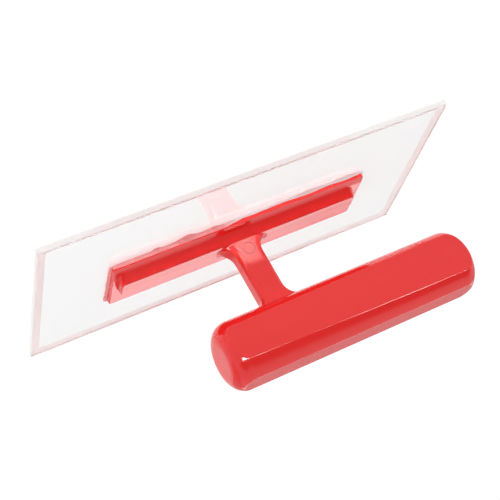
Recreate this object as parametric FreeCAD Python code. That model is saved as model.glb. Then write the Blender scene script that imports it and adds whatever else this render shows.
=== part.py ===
import FreeCAD, Part
import math
import os

# Finishing trowel: a clear acrylic blade with a hollow T-shaped handle in red plastic, bonded to its back.
# Millimetres. +X runs along the blade, +Z points from the working face towards the handle, and the origin
# is the middle of the blade's working face. The handle is two moulded half shells, welded on the plane
# that runs along the grip, down the neck and along the foot.

# Blade: a flat rectangle of sheet whose working face has a shallow bevel on all four sides
BLADE_LENGTH = 240.0
BLADE_WIDTH = 120.0
BLADE_THICKNESS = 4.0
BEVEL_WIDTH = 5.0
BEVEL_DEPTH = 0.9

# Handle position: the plane on which its two half shells meet
HANDLE_Y = 0.0

# Adhesive: a thin film under the foot, with a narrow bead squeezed out round it
FILM_THICKNESS = 0.2
FILM_MARGIN = 1.7

# Foot: the thin flange that is bonded to the blade, wider on its +Y side, its top falling away in front
FOOT_LENGTH = 155.0
FOOT_WIDTH = 39.0
FOOT_Y = 3.5
FOOT_THICKNESS = 3.1
FOOT_DRAFT = 0.4
FOOT_CORNER_RADIUS = 1.6
FOOT_EDGE_RADIUS = 0.4
FOOT_FRONT_FALL = 6.0

# Spine: the raised bar that stiffens the foot, with sloping long sides and steep ends
SPINE_LENGTH = 146.4
SPINE_WIDTH = 19.0
SPINE_X = 1.4
SPINE_Y = -0.9
SPINE_HEIGHT = 4.8
SPINE_TOP_LENGTH = 145.2
SPINE_TOP_WIDTH = 10.4
SPINE_TOP_Y = -0.4
SPINE_BASE_RADIUS = 5.0
SPINE_TOP_RADIUS = 2.0
SPINE_EDGE_RADIUS = 0.5

# Neck: a rounded post that flares into the spine below and into the grip above
NECK_X = 1.3
NECK_WIDTH = 15.8
NECK_FRONT_Y = -5.4
NECK_REAR_Y = 6.6
NECK_CORNER_RADIUS = 3.2
NECK_FOOT_FLARE = 9.0
NECK_FOOT_DEPTH = 3.0
NECK_GRIP_FLARE_PLUS_X = 5.5
NECK_GRIP_FLARE_MINUS_X = 9.0
NECK_REAR_FILLET = 1.0
NECK_GRIP_FILLET = 0.7

# Grip: a round bar with rounded ends and four flats, its two side flats cut deeper towards one end
GRIP_RADIUS = 19.1
GRIP_END_PLUS_X = 44.6
GRIP_END_MINUS_X = -110.3
GRIP_END_RADIUS = 10.0
GRIP_AXIS_Z = 69.6
GRIP_TOP_FLAT = 17.6
GRIP_SIDE_FLAT_PLUS_X = 16.5
GRIP_SIDE_FLAT_MINUS_X = 14.6
GRIP_SIDE_LEAN = 3.0
GRIP_CREASE_RADIUS = 1.2

# Ejector mark: the shallow ring that the mould's pin leaves low on the front of the neck
MARK_X = 1.0
MARK_ABOVE_SPINE = 5.7
MARK_RADIUS = 3.4
MARK_LINE_WIDTH = 0.6
MARK_DEPTH = 0.35

# Shell interior: one wall thickness, with webs and locating pegs that key the two halves together
WALL = 2.6
WEB_THICKNESS = 1.8
WEB_POSITIONS = (-88.0, -62.0, -36.0, 24.0)
PEG_POSITIONS = (-99.0, -49.0, 33.0)
BOSS_RADIUS = 4.0
PEG_RADIUS = 1.8
PEG_LENGTH = 4.0
PEG_CLEARANCE = 0.1
BIG = 400.0

FOOT_BOTTOM = BLADE_THICKNESS + FILM_THICKNESS
FOOT_TOP = FOOT_BOTTOM + FOOT_THICKNESS
SPINE_TOP = FOOT_TOP + SPINE_HEIGHT


def point(x, y, z):
    return FreeCAD.Vector(x, y, z)


def box(low, high):
    """A box between two opposite corners."""
    size = high - low
    return Part.makeBox(size.x, size.y, size.z, low)


def quarter_ellipse(start, corner, end):
    """A quarter of an ellipse that leaves start and reaches end along the two sides that meet at corner."""
    curve = Part.BezierCurve()
    curve.setPoles([start, corner, end])
    curve.setWeight(2, math.sqrt(0.5))
    return curve.toShape()


def rounded_rectangle(cx, cy, z, length, width, radius, radius_y=None):
    """A closed wire of four straight sides and four corners, round or elliptical, flat at height z."""
    radius_y = radius if radius_y is None else radius_y
    half_l = length / 2
    half_w = width / 2
    edges = []
    last_end = point(cx + half_l, cy - half_w + radius_y, z)
    for side_x, side_y in ((1, 1), (-1, 1), (-1, -1), (1, -1)):
        corner = point(cx + side_x * half_l, cy + side_y * half_w, z)
        on_end = corner - point(0, side_y * radius_y, 0)
        on_side = corner - point(side_x * radius, 0, 0)
        start, end = (on_end, on_side) if side_x == side_y else (on_side, on_end)
        edges.append(Part.LineSegment(last_end, start).toShape())
        edges.append(quarter_ellipse(start, corner, end))
        last_end = end
    return Part.Wire(edges)


def prism(wire, height):
    """A straight solid on a flat wire, standing up by height."""
    return Part.Face(wire).extrude(point(0, 0, height))


def edges_at_height(shape, z):
    """The edges of a shape that lie wholly at one height."""
    found = []
    for edge in shape.Edges:
        bounds = edge.BoundBox
        if abs(bounds.ZMin - z) < 1e-4 and abs(bounds.ZMax - z) < 1e-4:
            found.append(edge)
    return found


def make_blade():
    """The sheet: a full-size slab on top of a tapered layer, which is the bevel of the working face."""
    outline = Part.makePolygon([
        point(-BLADE_LENGTH / 2, -BLADE_WIDTH / 2, BEVEL_DEPTH),
        point(BLADE_LENGTH / 2, -BLADE_WIDTH / 2, BEVEL_DEPTH),
        point(BLADE_LENGTH / 2, BLADE_WIDTH / 2, BEVEL_DEPTH),
        point(-BLADE_LENGTH / 2, BLADE_WIDTH / 2, BEVEL_DEPTH),
        point(-BLADE_LENGTH / 2, -BLADE_WIDTH / 2, BEVEL_DEPTH),
    ])
    flat_x = BLADE_LENGTH / 2 - BEVEL_WIDTH
    flat_y = BLADE_WIDTH / 2 - BEVEL_WIDTH
    working_face = Part.makePolygon([
        point(-flat_x, -flat_y, 0),
        point(flat_x, -flat_y, 0),
        point(flat_x, flat_y, 0),
        point(-flat_x, flat_y, 0),
        point(-flat_x, -flat_y, 0),
    ])
    slab = Part.Face(outline).extrude(point(0, 0, BLADE_THICKNESS - BEVEL_DEPTH))
    bevelled = Part.makeLoft([working_face, outline], True, True)
    return slab.fuse(bevelled).removeSplitter()


def make_adhesive():
    """The cured film between the blade and the foot, a little larger than the foot."""
    outline = rounded_rectangle(
        0, FOOT_Y, BLADE_THICKNESS,
        FOOT_LENGTH + 2 * FILM_MARGIN, FOOT_WIDTH + 2 * FILM_MARGIN, FOOT_CORNER_RADIUS + FILM_MARGIN)
    return prism(outline, FILM_THICKNESS)


def make_foot():
    """The flange, slightly drafted, with its top edge rounded and its front strip falling to the front."""
    base = rounded_rectangle(0, FOOT_Y, FOOT_BOTTOM, FOOT_LENGTH, FOOT_WIDTH, FOOT_CORNER_RADIUS)
    top = rounded_rectangle(
        0, FOOT_Y, FOOT_TOP, FOOT_LENGTH - 2 * FOOT_DRAFT, FOOT_WIDTH - 2 * FOOT_DRAFT, FOOT_CORNER_RADIUS)
    slab = Part.makeLoft([base, top], True, True)
    slab = slab.makeFillet(FOOT_EDGE_RADIUS, edges_at_height(slab, FOOT_TOP))
    spine_front = SPINE_Y - SPINE_WIDTH / 2
    above = box(point(-BIG, spine_front - BIG, FOOT_TOP), point(BIG, spine_front, FOOT_TOP + BIG))
    above.rotate(point(0, spine_front, FOOT_TOP), point(1, 0, 0), FOOT_FRONT_FALL)
    return slab.cut(above)


def make_spine():
    """The raised bar on the foot, a ridge that is much narrower at its top."""
    base = rounded_rectangle(SPINE_X, SPINE_Y, FOOT_TOP, SPINE_LENGTH, SPINE_WIDTH, SPINE_BASE_RADIUS)
    top = rounded_rectangle(
        SPINE_X, SPINE_TOP_Y, SPINE_TOP, SPINE_TOP_LENGTH, SPINE_TOP_WIDTH, SPINE_TOP_RADIUS)
    bar = Part.makeLoft([base, top], True, True)
    return bar.makeFillet(SPINE_EDGE_RADIUS, edges_at_height(bar, SPINE_TOP))


def quarter_flare(distance, radius):
    """How far a concave quarter-round stands out, at a distance from the face it starts on."""
    if distance >= radius:
        return 0.0
    return radius - math.sqrt(radius ** 2 - (radius - distance) ** 2)


def make_neck():
    """The post between spine and grip: a rounded rectangle that widens towards both of its ends.

    Its front face stands on the spine's top edge. Where it widens into the spine its corners grow long, so
    that the flare falls back from the front face.
    """
    clear = GRIP_AXIS_Z - GRIP_TOP_FLAT - SPINE_TOP
    heights = [-NECK_FOOT_DEPTH, 0.1, 0.5, 1.2, 2.2, 3.4, 5.0, 7.0, 9.0, 13.0, clear / 2]
    heights += [clear - 13.0, clear - 9.0, clear - 7.0, clear - 5.0, clear - 3.4, clear - 2.2, clear - 1.2]
    heights += [clear - 0.5, clear - 0.1, clear + 1.5]
    sections = []
    for height in heights:
        above_spine = max(height, 0.1)
        below_grip = max(clear - height, 0.1)
        low = quarter_flare(above_spine, NECK_FOOT_FLARE)
        plus_x = NECK_WIDTH / 2 + low + quarter_flare(below_grip, NECK_GRIP_FLARE_PLUS_X)
        minus_x = NECK_WIDTH / 2 + low + quarter_flare(below_grip, NECK_GRIP_FLARE_MINUS_X)
        sections.append(rounded_rectangle(
            NECK_X + (plus_x - minus_x) / 2, (NECK_FRONT_Y + NECK_REAR_Y) / 2, SPINE_TOP + height,
            plus_x + minus_x, NECK_REAR_Y - NECK_FRONT_Y,
            NECK_CORNER_RADIUS + 0.85 * low, NECK_CORNER_RADIUS + 0.25 * low))
    return Part.makeLoft(sections, True, False)


def flat_cutter(side, inset):
    """The block that is removed beyond one side flat, which runs deeper towards -X and leans in below."""
    half = BIG / 2
    slope = (GRIP_SIDE_FLAT_PLUS_X - GRIP_SIDE_FLAT_MINUS_X) / (GRIP_END_PLUS_X - GRIP_END_MINUS_X)
    depth_plus = GRIP_SIDE_FLAT_PLUS_X + slope * (half - GRIP_END_PLUS_X) - inset
    depth_minus = GRIP_SIDE_FLAT_MINUS_X - slope * (half + GRIP_END_MINUS_X) - inset
    bottom = GRIP_AXIS_Z - half
    outline = Part.makePolygon([
        point(half, HANDLE_Y + side * depth_plus, bottom),
        point(-half, HANDLE_Y + side * depth_minus, bottom),
        point(-half, HANDLE_Y + side * BIG, bottom),
        point(half, HANDLE_Y + side * BIG, bottom),
        point(half, HANDLE_Y + side * depth_plus, bottom),
    ])
    block = Part.Face(outline).extrude(point(0, 0, BIG))
    block.rotate(point(0, HANDLE_Y, GRIP_AXIS_Z), point(1, 0, 0), -side * GRIP_SIDE_LEAN)
    return block


def make_grip(inset):
    """The grip's outer shape, or with an inset the hollow inside it."""
    start = point(GRIP_END_MINUS_X + inset, HANDLE_Y, GRIP_AXIS_Z)
    length = GRIP_END_PLUS_X - GRIP_END_MINUS_X - 2 * inset
    bar = Part.makeCylinder(GRIP_RADIUS - inset, length, start, point(1, 0, 0))
    end_circles = [edge for edge in bar.Edges if edge.BoundBox.XLength < 1e-4]
    bar = bar.makeFillet(GRIP_END_RADIUS - inset, end_circles)
    flats = box(
        point(-BIG, HANDLE_Y - GRIP_RADIUS, GRIP_AXIS_Z - GRIP_TOP_FLAT + inset),
        point(BIG, HANDLE_Y + GRIP_RADIUS, GRIP_AXIS_Z + GRIP_TOP_FLAT - inset))
    bar = bar.common(flats)
    return bar.cut([flat_cutter(-1, inset), flat_cutter(1, inset)])


def make_outer_grip():
    """The grip with the creases beside its four flats rounded."""
    bar = make_grip(0.0)
    return bar.makeFillet(GRIP_CREASE_RADIUS, bar.Edges)


def make_hollow():
    """The space inside the closed handle: grip, neck and spine, less the webs that brace the grip."""
    grip = make_grip(WALL)
    webs = []
    for x in WEB_POSITIONS:
        webs.append(box(
            point(x - WEB_THICKNESS / 2, HANDLE_Y - GRIP_RADIUS, GRIP_AXIS_Z - GRIP_RADIUS),
            point(x + WEB_THICKNESS / 2, HANDLE_Y + GRIP_RADIUS, GRIP_AXIS_Z + GRIP_RADIUS)))
    for x in PEG_POSITIONS:
        webs.append(Part.makeCylinder(
            BOSS_RADIUS, 2 * GRIP_RADIUS, point(x, HANDLE_Y - GRIP_RADIUS, GRIP_AXIS_Z), point(0, 1, 0)))
    grip = grip.cut(webs)
    half_width = NECK_WIDTH / 2 - WALL
    neck = box(
        point(NECK_X - half_width, NECK_FRONT_Y + WALL, SPINE_TOP - WALL),
        point(NECK_X + half_width, NECK_REAR_Y - WALL, GRIP_AXIS_Z))
    half_length = SPINE_TOP_LENGTH / 2 - WALL
    half_spine = SPINE_TOP_WIDTH / 2
    spine = box(
        point(SPINE_X - half_length, SPINE_TOP_Y - half_spine, FOOT_BOTTOM + WALL),
        point(SPINE_X + half_length, SPINE_TOP_Y + half_spine, SPINE_TOP - WALL))
    return grip.fuse([neck, spine])


def neck_seams(shape, z_low, z_high):
    """The edges along X, between two heights, where the neck's front and rear faces end."""
    found = []
    for edge in shape.Edges:
        bounds = edge.BoundBox
        level = bounds.ZLength < 0.01 and bounds.YLength < 0.01
        neck_sized = NECK_WIDTH / 2 < bounds.XLength < 2 * NECK_WIDTH
        on_neck = NECK_FRONT_Y - 0.1 < bounds.YMin < NECK_REAR_Y + 0.1 and z_low < bounds.ZMin < z_high
        if level and neck_sized and on_neck:
            found.append(edge)
    return found


def make_body():
    """The closed handle: foot, spine, neck and grip in one, with the neck's junctions rounded."""
    body = make_foot().fuse([make_spine(), make_neck(), make_outer_grip()]).removeSplitter()
    rear_seams = neck_seams(body, FOOT_TOP + 1.0, SPINE_TOP - 0.8)
    body = body.makeFillet(NECK_REAR_FILLET, rear_seams)
    grip_bottom = GRIP_AXIS_Z - GRIP_TOP_FLAT
    return body.makeFillet(NECK_GRIP_FILLET, neck_seams(body, grip_bottom - 0.1, grip_bottom + 0.1))


def make_mark():
    """The ring-shaped tool that leaves the ejector mark, its end just inside the front of the neck."""
    start = point(MARK_X, NECK_FRONT_Y + MARK_DEPTH, SPINE_TOP + MARK_ABOVE_SPINE)
    reach = 4 * MARK_RADIUS
    rod = Part.makeCylinder(MARK_RADIUS + MARK_LINE_WIDTH / 2, reach, start, point(0, -1, 0))
    core = Part.makeCylinder(MARK_RADIUS - MARK_LINE_WIDTH / 2, reach, start, point(0, -1, 0))
    return rod.cut(core)


def make_shells():
    """The two halves of the handle, keyed by round pegs on the first that enter sockets in the second."""
    body = make_body().cut([make_hollow(), make_mark()])
    front_side = box(point(-BIG, -BIG, -BIG), point(BIG, HANDLE_Y, BIG))
    front = body.common(front_side)
    rear = body.cut(front_side)
    pegs = []
    sockets = []
    for x in PEG_POSITIONS:
        centre = point(x, HANDLE_Y, GRIP_AXIS_Z)
        root = centre - point(0, 1, 0)
        pegs.append(Part.makeCylinder(PEG_RADIUS, PEG_LENGTH + 1, root, point(0, 1, 0)))
        sockets.append(Part.makeCylinder(
            PEG_RADIUS + PEG_CLEARANCE, PEG_LENGTH + PEG_CLEARANCE, centre, point(0, 1, 0)))
    return front.fuse(pegs), rear.cut(sockets)


os.makedirs("parts", exist_ok=True)
front_shell, rear_shell = make_shells()
nodes = {
    "acrylic_blade": make_blade(),
    "adhesive_film": make_adhesive(),
    "handle_front_shell": front_shell,
    "handle_rear_shell": rear_shell,
}
for name, shape in nodes.items():
    solids = shape.Solids
    shape = solids[0] if len(solids) == 1 else shape
    print(name, "solids", len(solids), "valid", shape.isValid(), "volume", round(shape.Volume, 1))
    shape.exportStep(f"parts/{name}.step")
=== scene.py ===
"""Looks of the finishing trowel: glossy red handle, clear acrylic blade and the cement that bonds them.

Metres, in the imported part's own frame: +X along the blade, +Z from the working face towards the handle.
"""

import math

import bmesh
import bpy
from mathutils import Matrix, Vector, noise


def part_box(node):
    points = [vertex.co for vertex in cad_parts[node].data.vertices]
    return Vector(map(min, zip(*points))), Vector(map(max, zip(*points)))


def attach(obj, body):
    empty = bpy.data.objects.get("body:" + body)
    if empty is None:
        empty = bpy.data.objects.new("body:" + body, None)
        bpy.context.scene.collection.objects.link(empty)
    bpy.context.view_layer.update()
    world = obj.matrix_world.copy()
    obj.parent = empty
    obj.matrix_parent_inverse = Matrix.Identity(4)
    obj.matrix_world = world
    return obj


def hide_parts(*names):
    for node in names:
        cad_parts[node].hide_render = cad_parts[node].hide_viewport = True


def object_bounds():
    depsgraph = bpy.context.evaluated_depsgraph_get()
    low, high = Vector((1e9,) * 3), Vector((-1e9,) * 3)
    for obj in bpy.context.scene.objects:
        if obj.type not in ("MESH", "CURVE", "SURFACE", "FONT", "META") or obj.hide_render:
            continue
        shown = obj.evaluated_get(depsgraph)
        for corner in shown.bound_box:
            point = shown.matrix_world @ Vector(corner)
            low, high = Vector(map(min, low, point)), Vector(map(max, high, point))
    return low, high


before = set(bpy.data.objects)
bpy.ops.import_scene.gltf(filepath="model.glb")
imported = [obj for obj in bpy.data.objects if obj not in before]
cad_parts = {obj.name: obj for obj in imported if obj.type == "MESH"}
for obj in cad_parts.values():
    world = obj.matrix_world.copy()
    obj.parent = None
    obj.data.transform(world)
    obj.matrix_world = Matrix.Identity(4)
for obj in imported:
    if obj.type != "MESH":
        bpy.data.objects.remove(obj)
cad_low, cad_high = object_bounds()

MM = 0.001

# Camera: an orbit round a point near the middle of the object, then a turn about the line of sight
CAMERA_AIM = Vector((1.98, -7.39, 19.93)) * MM
CAMERA_AZIMUTH = 23.372
CAMERA_ELEVATION = 20.666
CAMERA_ROLL = 149.844
CAMERA_DISTANCE = 654.85 * MM
CAMERA_LENS = 87.471
SENSOR_WIDTH = 36.0
CLIP_START = 0.01
CLIP_END = 20.0

# Blade: the bevel of its working face and the broken arrises of its sawn edges
BEVEL_WIDTH = 5.0 * MM
BEVEL_DEPTH = 0.9 * MM
ARRIS = 0.15 * MM
BLADE_CORNER_RADIUS = 0.5 * MM
BLADE_CORNER_STEPS = 4
# a face whose normal has at least this much along Z, up or down, is polished
POLISHED_UPRIGHT = 0.999
# a face whose normal has less than this along Z is the bevel, and any other is a sawn edge
BEVEL_UPRIGHT = -0.9

# Acrylic: hairline scratches on its polished faces, and cutter lines where it was sawn or milled
ACRYLIC_IOR = 1.49
SCRATCH_SCALE = 900.0
SCRATCH_RANGE = (0.66, 0.72)
SCRATCH_ROUGHNESS = 0.12
# the scratches run three ways: turn about Z in radians, and the factor that draws them out
SCRATCH_WAYS = ((0.4, 0.02), (1.3, 0.03), (2.4, 0.02))
CUTTER_SCALE = 2500.0
CUTTER_RANGE = (0.3, 0.7)
CUTTER_TINTS = ((0.98, 0.965, 0.955, 1), (0.995, 0.985, 0.98, 1))
# how much light each machined finish lets through, and its least and most roughness
SAWN_FINISH = (0.12, 0.30, 0.38)
MILLED_FINISH = (0.5, 0.68, 0.74)

# Handle: two close reds where the plastic flowed, a darker one in its seam, and painted shade in the groove
# of its ejector mark
PLASTIC_IOR = 1.5
PLASTIC_REDS = ((0.88, 0.018, 0.016, 1), (0.83, 0.015, 0.014, 1))
SEAM_RED = (0.45, 0.006, 0.006, 1)
# the ring's red is painted shade for the groove of the ejector mark
RING_SHADE_RED = (0.34, 0.006, 0.006, 1)
SEAM_STRENGTH = 0.5
RING_SHADE_STRENGTH = 0.8
PLASTIC_ROUGHNESS = (0.09, 0.16)
# flow marks and waves are drawn out along X, and rub marks and peel are the same all ways
FLOW_STRETCH = 0.25
FLOW_SCALE = 45.0
FLOW_RANGE = (0.35, 0.7)
WAVE_SCALE = 70.0
RUB_SCALE = 600.0
RUB_RANGE = (0.4, 0.75)
PEEL_SCALE = 900.0
# each line fades out between its half width and the half width times its fade
SEAM_HALF_WIDTH = 0.05 * MM
SEAM_FADE = 2.5

# Handle: the ring-shaped groove low on the front of the neck, darkened with painted shade
RING_X = 1.0 * MM
RING_Z = 17.8 * MM
RING_RADIUS = 3.4 * MM
RING_HALF_WIDTH = 0.3 * MM
RING_FADE = 1.3
# its painted shade is only in front of this place along Y
RING_REAR = -5.0 * MM

# Cement: how much light it lets through, and its colours, pale for the most part
CEMENT_IOR = 1.46
CEMENT_CLARITY = 0.05
CEMENT_ROUGHNESS = (0.22, 0.32)
CEMENT_PALES = ((0.99, 0.96, 0.95, 1), (0.97, 0.91, 0.90, 1))
CEMENT_PINK = (0.97, 0.33, 0.33, 1)
HAZE_SCALE = 220.0
HAZE_TINT_RANGE = (0.35, 0.7)
HAZE_GLOSS_RANGE = (0.4, 0.7)
UNEVENNESS_SCALE = 500.0
# between these places along X it turns from pale to pink
PALE_UNTIL = 0.0 * MM
PINK_FROM = 12.0 * MM

# Foot's underside, seen through the cement: red, with paler and rougher blotches
WETTED_IOR = 1.45
WETTED_REDS = ((0.76, 0.012, 0.010, 1), (0.86, 0.10, 0.08, 1))
WETTED_ROUGHNESS = (0.15, 0.3)
BLOTCH_SCALE = 160.0
BLOTCH_RANGE = (0.62, 0.68)

# Cement: a thin film under the foot, with an uneven bead squeezed out all round it
FOOT_CORNER_RADIUS = 1.6 * MM
# the foot's wall leans in by this part of its height
FOOT_DRAFT = 0.13
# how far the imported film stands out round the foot
FILM_MARGIN = 1.7 * MM
# the cement is sunk this far into the blade, and the bead this far into the foot
FILM_PRESS = 0.02 * MM
BEAD_OVERLAP = 0.05 * MM
FILM_CORNER_STEPS = 8
BEAD_CORNER_STEPS = 6
BEAD_STEP = 0.8 * MM
BEAD_REACH = 1.6 * MM
BEAD_FRONT_REACH = 0.7 * MM
BEAD_CLIMB = 0.7 * MM
# how much higher the pink cement climbs at the front, and the most that it may climb
BEAD_FRONT_COAT = 1.5 * MM
BEAD_CLIMB_LIMIT = 2.2 * MM
# the bead's ripples: their noise scales, and the parts of its reach and its climb that they change
REACH_RIPPLE_SCALE = 180.0
CLIMB_RIPPLE_SCALE = 90.0
REACH_RIPPLE = 0.3
FRONT_REACH_RIPPLE = 0.5
CLIMB_RIPPLE = 0.5
# its outward direction has at most this much along Y where it is at the front
FRONTWARD = -0.5
# a blob climbs by this part of its extra reach
BLOB_CLIMB = 0.2
# where more was squeezed out along the front: place along X, spread, extra reach
BEAD_BLOBS = (
    (52 * MM, 2.5 * MM, 1.7 * MM),
    (34 * MM, 5.0 * MM, 3.2 * MM),
    (18 * MM, 4.0 * MM, 1.3 * MM),
    (-42 * MM, 8.0 * MM, 2.3 * MM),
    (-66 * MM, 7.0 * MM, 2.6 * MM),
)
# the bead's section as parts of its reach and climb, from its toe up to the foot's wall and down inside
# it; no reach means against the foot's wall
BEAD_SECTION = (
    (1.0, 0.0),
    (0.98, 0.05),
    (0.90, 0.10),
    (0.72, 0.15),
    (0.50, 0.24),
    (0.28, 0.42),
    (0.12, 0.68),
    (0.03, 0.92),
    (0.0, 1.0),
    (0.0, 0.0),
)

# Studio light: brightness of the room, and of the soft panels in it. Each panel covers a range of
# directions, given by the parts of its unit vector along Y and Z.
ROOM_LIGHT = 1.3
PANELS = (
    # y from, y to, z from, z to, softness, added brightness
    (-2.0, -0.15, 0.50, 0.90, 0.08, -0.95),
    (0.3, 2.0, -0.5, 0.50, 0.06, -0.6),
)

# Lamps: they only add gloss, so that the room and the floor decide how bright the colours are. Each has its
# azimuth (0 is -Y, 90 is +X) and elevation in degrees, its length and height in metres, and its power.
# The front lamp reaches the blade alone, the crease lamp the front shell, and the back lamp both shells.
LAMP_DISTANCE = 2.5
FRONT_LAMP = (4.0, 20.0, 3.5, 0.40, 165.0)
CREASE_LAMP = (4.0, 36.0, 3.5, 0.40, 120.0)
BACK_LAMP = (-157.0, 25.0, 3.0, 0.45, 10.0)

# Light paths: how often light may bounce in the sheet or pass through it
MAX_BOUNCES = 64

# Floor: its size and its distance below the blade, how much light its paper sends back, and how much it
# gives by itself
FLOOR_SIZE = 4.0
FLOOR_GAP = 0.1 * MM
FLOOR_WHITE = 0.30
FLOOR_GLOW = 0.80
PAPER_SCALE = 900.0
PAPER_SHADE = 0.95
PAPER_ROUGHNESS = 0.9

# ---------------------------------------------------------------- node helpers

def new_material(name):
    """A new node material, with its tree and its Principled shader."""
    material = bpy.data.materials.new(name)
    material.use_nodes = True
    tree = material.node_tree
    tree.nodes.clear()
    output = tree.nodes.new("ShaderNodeOutputMaterial")
    shader = tree.nodes.new("ShaderNodeBsdfPrincipled")
    tree.links.new(shader.outputs["BSDF"], output.inputs["Surface"])
    return material, tree, shader


def object_place(tree, scale=(1.0, 1.0, 1.0), turn=0.0):
    """Object coordinates, turned about Z and then multiplied by scale."""
    place = tree.nodes.new("ShaderNodeTexCoord")
    mapping = tree.nodes.new("ShaderNodeMapping")
    mapping.vector_type = "TEXTURE"
    mapping.inputs["Rotation"].default_value = (0.0, 0.0, turn)
    mapping.inputs["Scale"].default_value = [1.0 / factor for factor in scale]
    tree.links.new(place.outputs["Object"], mapping.inputs["Vector"])
    return mapping.outputs["Vector"]


def noise_texture(tree, vector, scale, detail=2.0, roughness=0.5):
    """A noise pattern's grey value."""
    texture = tree.nodes.new("ShaderNodeTexNoise")
    texture.inputs["Scale"].default_value = scale
    texture.inputs["Detail"].default_value = detail
    texture.inputs["Roughness"].default_value = roughness
    tree.links.new(vector, texture.inputs["Vector"])
    return texture.outputs["Fac"]


def maths(tree, operation, *values):
    """The result of one Math node on sockets and plain numbers."""
    node = tree.nodes.new("ShaderNodeMath")
    node.operation = operation
    for socket, value in zip(node.inputs, values):
        if isinstance(value, bpy.types.NodeSocket):
            tree.links.new(value, socket)
        else:
            socket.default_value = value
    return node.outputs["Value"]


def ramp(tree, value, low, high, out_low=0.0, out_high=1.0):
    """A value moved from the range low to high into the range out_low to out_high, and held there."""
    node = tree.nodes.new("ShaderNodeMapRange")
    node.inputs["From Min"].default_value = low
    node.inputs["From Max"].default_value = high
    node.inputs["To Min"].default_value = out_low
    node.inputs["To Max"].default_value = out_high
    tree.links.new(value, node.inputs["Value"])
    return node.outputs["Result"]


def mix_colour(tree, factor, first, second):
    """A colour between two others."""
    node = tree.nodes.new("ShaderNodeMix")
    node.data_type = "RGBA"
    tree.links.new(factor, node.inputs["Factor"])
    for socket, value in ((node.inputs["A"], first), (node.inputs["B"], second)):
        if isinstance(value, bpy.types.NodeSocket):
            tree.links.new(value, socket)
        else:
            socket.default_value = value
    return node.outputs["Result"]


def bump(tree, height, strength, distance, below=None):
    """A bump normal, on top of another one where below is given."""
    node = tree.nodes.new("ShaderNodeBump")
    node.inputs["Strength"].default_value = strength
    node.inputs["Distance"].default_value = distance
    tree.links.new(height, node.inputs["Height"])
    if below is not None:
        tree.links.new(below, node.inputs["Normal"])
    return node.outputs["Normal"]


# ---------------------------------------------------------------- materials

def red_plastic():
    """Moulded gloss plastic with flow mottling, faint waves, rub marks, a seam, and an ejector mark's
    groove darkened with painted shade.
    """
    material, tree, shader = new_material("red_plastic")
    along = object_place(tree, (FLOW_STRETCH, 1.0, 1.0))
    plain = object_place(tree)
    flow = noise_texture(tree, along, FLOW_SCALE, detail=3.0)
    colour = mix_colour(tree, ramp(tree, flow, *FLOW_RANGE), *PLASTIC_REDS)
    seam = seam_line(tree, plain)
    colour = mix_colour(tree, ramp(tree, seam, 0.0, 1.0, 0.0, SEAM_STRENGTH), colour, SEAM_RED)
    # painted shade: the groove of the ejector mark is darkened in the colour, not by light
    ring = ring_shade_mask(tree, plain)
    colour = mix_colour(tree, ramp(tree, ring, 0.0, 1.0, 0.0, RING_SHADE_STRENGTH), colour, RING_SHADE_RED)
    tree.links.new(colour, shader.inputs["Base Color"])
    rubs = noise_texture(tree, plain, RUB_SCALE, detail=4.0, roughness=0.6)
    tree.links.new(ramp(tree, rubs, *RUB_RANGE, *PLASTIC_ROUGHNESS), shader.inputs["Roughness"])
    waves = noise_texture(tree, along, WAVE_SCALE, detail=1.0)
    peel = noise_texture(tree, plain, PEEL_SCALE, detail=1.0)
    groove = ramp(tree, seam, 0.0, 1.0, 1.0, 0.0)
    normal = bump(tree, waves, strength=0.10, distance=1.0 * MM)
    normal = bump(tree, peel, strength=0.04, distance=0.3 * MM, below=normal)
    normal = bump(tree, groove, strength=0.5, distance=0.1 * MM, below=normal)
    tree.links.new(normal, shader.inputs["Normal"])
    shader.inputs["IOR"].default_value = PLASTIC_IOR
    return material


def seam_line(tree, place):
    """One along the plane on which the two shells meet, and zero elsewhere."""
    parts = tree.nodes.new("ShaderNodeSeparateXYZ")
    tree.links.new(place, parts.inputs["Vector"])
    distance = maths(tree, "ABSOLUTE", parts.outputs["Y"])
    return ramp(tree, distance, SEAM_HALF_WIDTH, SEAM_FADE * SEAM_HALF_WIDTH, 1.0, 0.0)


def ring_shade_mask(tree, place):
    """One in the ring-shaped groove on the front of the neck, where its shade is painted, and zero
    elsewhere.
    """
    parts = tree.nodes.new("ShaderNodeSeparateXYZ")
    tree.links.new(place, parts.inputs["Vector"])
    across = maths(tree, "SUBTRACT", parts.outputs["X"], RING_X)
    up = maths(tree, "SUBTRACT", parts.outputs["Z"], RING_Z)
    across_squared = maths(tree, "MULTIPLY", across, across)
    up_squared = maths(tree, "MULTIPLY", up, up)
    distance = maths(tree, "SQRT", maths(tree, "ADD", across_squared, up_squared))
    off_ring = maths(tree, "ABSOLUTE", maths(tree, "SUBTRACT", distance, RING_RADIUS))
    on_ring = ramp(tree, off_ring, RING_HALF_WIDTH, RING_FADE * RING_HALF_WIDTH, 1.0, 0.0)
    in_front = maths(tree, "LESS_THAN", parts.outputs["Y"], RING_REAR)
    return maths(tree, "MULTIPLY", on_ring, in_front)


def clear_acrylic():
    """The sheet's polished faces: clear, with hairline scratches from use and cleaning."""
    material, tree, shader = new_material("clear_acrylic")
    shader.inputs["Base Color"].default_value = (1.0, 1.0, 1.0, 1.0)
    shader.inputs["Transmission Weight"].default_value = 1.0
    shader.inputs["IOR"].default_value = ACRYLIC_IOR
    scratches = None
    for angle, stretch in SCRATCH_WAYS:
        place = object_place(tree, (stretch, 1.0, 1.0), angle)
        lines = ramp(tree, noise_texture(tree, place, SCRATCH_SCALE, detail=1.0), *SCRATCH_RANGE)
        scratches = lines if scratches is None else maths(tree, "MAXIMUM", scratches, lines)
    tree.links.new(ramp(tree, scratches, 0.0, 1.0, 0.0, SCRATCH_ROUGHNESS), shader.inputs["Roughness"])
    tree.links.new(bump(tree, scratches, strength=0.05, distance=0.02 * MM), shader.inputs["Normal"])
    return material


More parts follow.
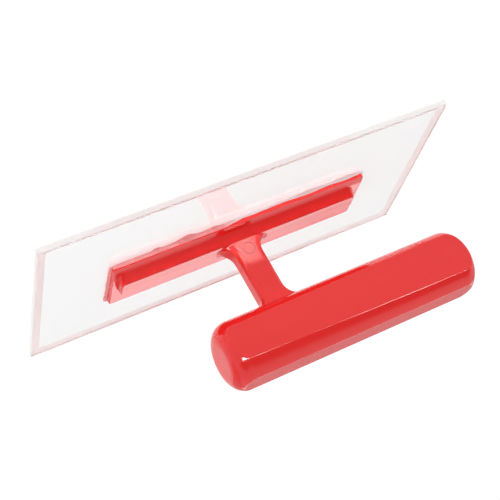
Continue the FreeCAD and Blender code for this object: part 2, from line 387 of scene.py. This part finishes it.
def machined_acrylic(name, transmission, smoothest, roughest):
    """Sawn or milled acrylic, frosted by fine cutter lines: it passes some light and scatters the rest."""
    material, tree, shader = new_material(name)
    shader.inputs["Transmission Weight"].default_value = transmission
    shader.inputs["IOR"].default_value = ACRYLIC_IOR
    cutter = noise_texture(tree, object_place(tree), CUTTER_SCALE)
    tree.links.new(mix_colour(tree, cutter, *CUTTER_TINTS), shader.inputs["Base Color"])
    tree.links.new(ramp(tree, cutter, *CUTTER_RANGE, smoothest, roughest), shader.inputs["Roughness"])
    return material


def clear_cement():
    """Cured cement: slightly milky, and pink towards the +X end."""
    material, tree, shader = new_material("clear_cement")
    plain = object_place(tree)
    haze = noise_texture(tree, plain, HAZE_SCALE, detail=3.0)
    pale = mix_colour(tree, ramp(tree, haze, *HAZE_TINT_RANGE), *CEMENT_PALES)
    parts = tree.nodes.new("ShaderNodeSeparateXYZ")
    tree.links.new(plain, parts.inputs["Vector"])
    pink_share = ramp(tree, parts.outputs["X"], PALE_UNTIL, PINK_FROM)
    tree.links.new(mix_colour(tree, pink_share, pale, CEMENT_PINK), shader.inputs["Base Color"])
    shader.inputs["Transmission Weight"].default_value = CEMENT_CLARITY
    shader.inputs["IOR"].default_value = CEMENT_IOR
    tree.links.new(ramp(tree, haze, *HAZE_GLOSS_RANGE, *CEMENT_ROUGHNESS), shader.inputs["Roughness"])
    unevenness = noise_texture(tree, plain, UNEVENNESS_SCALE)
    tree.links.new(bump(tree, unevenness, strength=0.15, distance=0.2 * MM), shader.inputs["Normal"])
    return material


def wetted_plastic():
    """The foot's underside as it shows through clear cement, with paler blotches where air was trapped."""
    material, tree, shader = new_material("wetted_plastic")
    plain = object_place(tree)
    clouds = noise_texture(tree, plain, BLOTCH_SCALE, detail=4.0, roughness=0.6)
    blotches = ramp(tree, clouds, *BLOTCH_RANGE)
    tree.links.new(mix_colour(tree, blotches, *WETTED_REDS), shader.inputs["Base Color"])
    tree.links.new(ramp(tree, blotches, 0.0, 1.0, *WETTED_ROUGHNESS), shader.inputs["Roughness"])
    shader.inputs["IOR"].default_value = WETTED_IOR
    return material


def floor_paper():
    """Matt white paper, lit a little from behind so that it stays white under the object."""
    material, tree, shader = new_material("floor_paper")
    grain = noise_texture(tree, object_place(tree), PAPER_SCALE, detail=3.0)
    greys = [(white, white, white, 1) for white in (PAPER_SHADE * FLOOR_WHITE, FLOOR_WHITE)]
    tree.links.new(mix_colour(tree, grain, *greys), shader.inputs["Base Color"])
    shader.inputs["Roughness"].default_value = PAPER_ROUGHNESS
    shader.inputs["Specular IOR Level"].default_value = 0.0
    shader.inputs["Emission Color"].default_value = (1.0, 1.0, 1.0, 1.0)
    shader.inputs["Emission Strength"].default_value = FLOOR_GLOW
    return material


# ---------------------------------------------------------------- meshes

def rounded_loop(low, high, inset, radius, z, steps):
    """Points round a rectangle with rounded corners, anticlockwise seen from +Z."""
    points = []
    centres = (
        (high.x - inset - radius, high.y - inset - radius, 0),
        (low.x + inset + radius, high.y - inset - radius, 90),
        (low.x + inset + radius, low.y + inset + radius, 180),
        (high.x - inset - radius, low.y + inset + radius, 270),
    )
    for cx, cy, start in centres:
        for step in range(steps + 1):
            turn = math.radians(start + 90 * step / steps)
            points.append(Vector((cx + radius * math.cos(turn), cy + radius * math.sin(turn), z)))
    return points


def finish_piece(name, work, materials):
    """A piece made from bmesh data, with its faces turned outwards."""
    bmesh.ops.recalc_face_normals(work, faces=work.faces)
    mesh = bpy.data.meshes.new(name)
    work.to_mesh(mesh)
    work.free()
    for material in materials:
        mesh.materials.append(material)
    return link_piece(name, mesh)


def link_piece(name, mesh):
    """An object that shows a mesh, put in the scene."""
    piece = bpy.data.objects.new(name, mesh)
    bpy.context.scene.collection.objects.link(piece)
    return piece


def mesh_from_loops(name, loops, materials):
    """A closed mesh through a stack of loops with equal point counts, capped at both ends."""
    work = bmesh.new()
    rings = [[work.verts.new(p) for p in loop] for loop in loops]
    for lower, upper in zip(rings, rings[1:]):
        count = len(lower)
        for i in range(count):
            j = (i + 1) % count
            work.faces.new((lower[i], lower[j], upper[j], upper[i]))
    work.faces.new(list(reversed(rings[0])))
    work.faces.new(rings[-1])
    return finish_piece(name, work, materials)


def walk_round(low, high, radius, step):
    """Places round a rounded rectangle about one step apart, each with its outward direction."""
    west, east = low.x + radius, high.x - radius
    south, north = low.y + radius, high.y - radius
    # each side's outward direction, the place where it ends, and the centre of the corner after it
    sides = (
        (Vector((1, 0, 0)), Vector((high.x, north, 0)), Vector((east, north, 0))),
        (Vector((0, 1, 0)), Vector((west, high.y, 0)), Vector((west, north, 0))),
        (Vector((-1, 0, 0)), Vector((low.x, south, 0)), Vector((west, south, 0))),
        (Vector((0, -1, 0)), Vector((east, low.y, 0)), Vector((east, south, 0))),
    )
    places = []
    start = Vector((high.x, south, 0))
    for outward, end, centre in sides:
        count = max(1, round((end - start).length / step))
        for index in range(count):
            places.append((start.lerp(end, index / count), outward))
        for turn in range(BEAD_CORNER_STEPS):
            angle = math.radians(90 * turn / BEAD_CORNER_STEPS)
            direction = Matrix.Rotation(angle, 3, "Z") @ outward
            places.append((centre + direction * radius, direction))
        start = centre + Matrix.Rotation(math.radians(90), 3, "Z") @ outward * radius
    return places


def mesh_from_rings(name, rings, smooth_rings, material):
    """A closed mesh like a bent tube: every ring joins the next, and the last joins the first.

    The bands that start from the first smooth_rings rings are shaded smooth, and the others flat.
    """
    work = bmesh.new()
    corners = [[work.verts.new(p) for p in ring] for ring in rings]
    for index, (this, following) in enumerate(zip(corners, corners[1:] + corners[:1])):
        count = len(this)
        for i in range(count):
            j = (i + 1) % count
            face = work.faces.new((this[i], this[j], following[j], following[i]))
            face.smooth = index < smooth_rings
    return finish_piece(name, work, [material])


def make_blade(polished, sawn, milled):
    """The sheet: polished faces, a milled bevel round the working face, and sawn, broken edges."""
    low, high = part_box("acrylic_blade")
    levels = (
        # inset, height
        (BEVEL_WIDTH, low.z),
        (ARRIS, low.z + BEVEL_DEPTH - ARRIS * BEVEL_DEPTH / BEVEL_WIDTH),
        (0.0, low.z + BEVEL_DEPTH + ARRIS),
        (0.0, high.z - ARRIS),
        (ARRIS, high.z),
    )
    loops = [
        rounded_loop(low, high, inset, BLADE_CORNER_RADIUS, z, BLADE_CORNER_STEPS) for inset, z in levels]
    finishes = [polished, sawn, milled]
    piece = mesh_from_loops("blade", loops, finishes)
    for face in piece.data.polygons:
        if abs(face.normal.z) < POLISHED_UPRIGHT:
            finish = milled if face.normal.z < BEVEL_UPRIGHT else sawn
            face.material_index = finishes.index(finish)
    return piece


def foot_outline():
    """The lowest and highest corners of the foot's underside, found from the film round it."""
    low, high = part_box("adhesive_film")
    inset = Vector((FILM_MARGIN, FILM_MARGIN, 0.0))
    return low + inset, high - inset


def make_film(material):
    """The layer under the foot, sunk into the blade's surface by a hair so that no gap shows."""
    low, high = foot_outline()
    inset = 2 * BEAD_OVERLAP
    heights = (low.z - FILM_PRESS, high.z - FILM_PRESS)
    loops = [
        rounded_loop(low, high, inset, FOOT_CORNER_RADIUS, z, FILM_CORNER_STEPS) for z in heights]
    return mesh_from_loops("cement_film", loops, [material])


def bead_size(place, outward):
    """How far the bead reaches from the foot, and how high it climbs the foot's wall, at one place."""
    ripple = noise.noise(place * REACH_RIPPLE_SCALE)
    reach = BEAD_REACH * (1.0 + REACH_RIPPLE * ripple)
    climb = BEAD_CLIMB * (1.0 + CLIMB_RIPPLE * noise.noise(place * CLIMB_RIPPLE_SCALE))
    if outward.y < FRONTWARD:
        reach = BEAD_FRONT_REACH * (1.0 + FRONT_REACH_RIPPLE * ripple)
        for x, spread, size in BEAD_BLOBS:
            swell = math.exp(-((place.x - x) / spread) ** 2)
            reach += size * swell
            climb += BLOB_CLIMB * size * swell
        pinkness = (place.x - PALE_UNTIL) / (PINK_FROM - PALE_UNTIL)
        climb += BEAD_FRONT_COAT * min(max(pinkness, 0.0), 1.0)
    return reach, min(climb, BEAD_CLIMB_LIMIT)


def make_bead(material):
    """The cement squeezed out round the foot: a skirt that thins outwards and climbs the foot's wall."""
    low, high = foot_outline()
    rings = [[] for _ in BEAD_SECTION]
    for place, outward in walk_round(low, high, FOOT_CORNER_RADIUS, BEAD_STEP):
        reach, climb = bead_size(place, outward)
        for ring, (out, up) in zip(rings, BEAD_SECTION):
            inset = BEAD_OVERLAP + FOOT_DRAFT * climb * up
            across = out * reach if out > 0.0 else -inset
            height = low.z - FILM_PRESS + up * (climb + FILM_PRESS)
            ring.append(Vector((place.x, place.y, height)) + outward * across)
    # its back against the foot and its underside are flat, and the rest is smooth
    return mesh_from_rings("cement_bead", rings, len(rings) - 2, material)


def make_floor(material):
    """A large flat sheet just under the blade."""
    mesh = bpy.data.meshes.new("floor")
    half = FLOOR_SIZE / 2
    z = cad_low[2] - FLOOR_GAP
    corners = [(-half, -half, z), (half, -half, z), (half, half, z), (-half, half, z)]
    mesh.from_pydata(corners, [], [(0, 1, 2, 3)])
    mesh.materials.append(material)
    return link_piece("floor", mesh)


# ---------------------------------------------------------------- light and camera

def smooth_step(tree, value, middle, softness, before, after):
    """A value that changes smoothly from before to after where the given one passes middle."""
    node = tree.nodes.new("ShaderNodeMapRange")
    node.interpolation_type = "SMOOTHSTEP"
    node.inputs["From Min"].default_value = middle - softness
    node.inputs["From Max"].default_value = middle + softness
    node.inputs["To Min"].default_value = before
    node.inputs["To Max"].default_value = after
    tree.links.new(value, node.inputs["Value"])
    return node.outputs["Result"]


def band(tree, value, low, high, softness):
    """One while value is between low and high, falling smoothly to zero outside them."""
    rising = smooth_step(tree, value, low, softness, 0.0, 1.0)
    falling = smooth_step(tree, value, high, softness, 1.0, 0.0)
    return maths(tree, "MULTIPLY", rising, falling)


def make_world():
    """White studio light: an even room with soft panels in it."""
    world = bpy.data.worlds.new("studio")
    bpy.context.scene.world = world
    world.use_nodes = True
    tree = world.node_tree
    tree.nodes.clear()
    output = tree.nodes.new("ShaderNodeOutputWorld")
    background = tree.nodes.new("ShaderNodeBackground")
    direction = tree.nodes.new("ShaderNodeTexCoord")
    parts = tree.nodes.new("ShaderNodeSeparateXYZ")
    tree.links.new(direction.outputs["Generated"], parts.inputs["Vector"])
    total = ROOM_LIGHT
    for y_from, y_to, z_from, z_to, softness, added in PANELS:
        along = band(tree, parts.outputs["Y"], y_from, y_to, softness)
        upright = band(tree, parts.outputs["Z"], z_from, z_to, softness)
        inside = maths(tree, "MULTIPLY", along, upright)
        total = maths(tree, "MULTIPLY_ADD", inside, added, total)
    tree.links.new(total, background.inputs["Strength"])
    tree.links.new(background.outputs["Background"], output.inputs["Surface"])


def make_lamp(name, azimuth, elevation, length, height, power):
    """A long strip lamp that faces the trowel and shows only in gloss."""
    data = bpy.data.lights.new(name, "AREA")
    data.shape = "RECTANGLE"
    data.size = length
    data.size_y = height
    data.energy = power
    lamp = bpy.data.objects.new(name, data)
    bpy.context.scene.collection.objects.link(lamp)
    direction = orbit_direction(azimuth, elevation)
    turned = direction.to_track_quat("Z", "Y").to_matrix().to_4x4()
    lamp.matrix_world = Matrix.Translation(direction * LAMP_DISTANCE) @ turned
    lamp.visible_camera = False
    lamp.visible_diffuse = False
    lamp.visible_transmission = False
    return lamp


def light_only(lamp, name, receivers):
    """Lets a lamp reach only the given objects."""
    group = bpy.data.collections.new(name)
    for receiver in receivers:
        group.objects.link(receiver)
    lamp.light_linking.receiver_collection = group


def orbit_direction(azimuth, elevation):
    """The unit vector at an azimuth (0 is -Y, 90 is +X) and an elevation, both in degrees."""
    azimuth = math.radians(azimuth)
    elevation = math.radians(elevation)
    return Vector((
        math.sin(azimuth) * math.cos(elevation),
        -math.cos(azimuth) * math.cos(elevation),
        math.sin(elevation)))


def make_light_paths():
    """Light may pass many times through the sheet, and no blur is added to what shines through it."""
    cycles = bpy.context.scene.cycles
    cycles.blur_glossy = 0.0
    cycles.max_bounces = MAX_BOUNCES
    cycles.transmission_bounces = MAX_BOUNCES
    cycles.diffuse_bounces = MAX_BOUNCES
    cycles.glossy_bounces = MAX_BOUNCES


def make_camera():
    """The camera on its orbit, turned about its line of sight."""
    data = bpy.data.cameras.new("camera")
    data.sensor_width = SENSOR_WIDTH
    data.lens = CAMERA_LENS
    data.clip_start = CLIP_START
    data.clip_end = CLIP_END
    camera = bpy.data.objects.new("camera", data)
    bpy.context.scene.collection.objects.link(camera)
    direction = orbit_direction(CAMERA_AZIMUTH, CAMERA_ELEVATION)
    level = direction.to_track_quat("Z", "Y").to_matrix().to_4x4()
    roll = Matrix.Rotation(math.radians(CAMERA_ROLL), 4, "Z")
    camera.matrix_world = Matrix.Translation(CAMERA_AIM + direction * CAMERA_DISTANCE) @ level @ roll
    bpy.context.scene.camera = camera


# ---------------------------------------------------------------- the scene

make_camera()
make_world()
front_lamp = make_lamp("front_lamp", *FRONT_LAMP)
crease_lamp = make_lamp("crease_lamp", *CREASE_LAMP)
back_lamp = make_lamp("back_lamp", *BACK_LAMP)
make_light_paths()
bpy.context.scene.view_settings.view_transform = "Standard"

plastic = red_plastic()
shells = [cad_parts[name] for name in ("handle_front_shell", "handle_rear_shell")]
for shell in shells:
    for material_slot in shell.material_slots:
        material_slot.material = plastic
light_only(back_lamp, "back_lamp_receivers", shells)
light_only(crease_lamp, "crease_lamp_receivers", shells[:1])

blade = make_blade(
    clear_acrylic(),
    machined_acrylic("sawn_acrylic", *SAWN_FINISH),
    machined_acrylic("milled_acrylic", *MILLED_FINISH))
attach(blade, "root")
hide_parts("acrylic_blade")
light_only(front_lamp, "front_lamp_receivers", [blade])

film = make_film(wetted_plastic())
bead = make_bead(clear_cement())
for cement in (film, bead):
    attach(cement, "root")
    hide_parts("adhesive_film")

floor = make_floor(floor_paper())
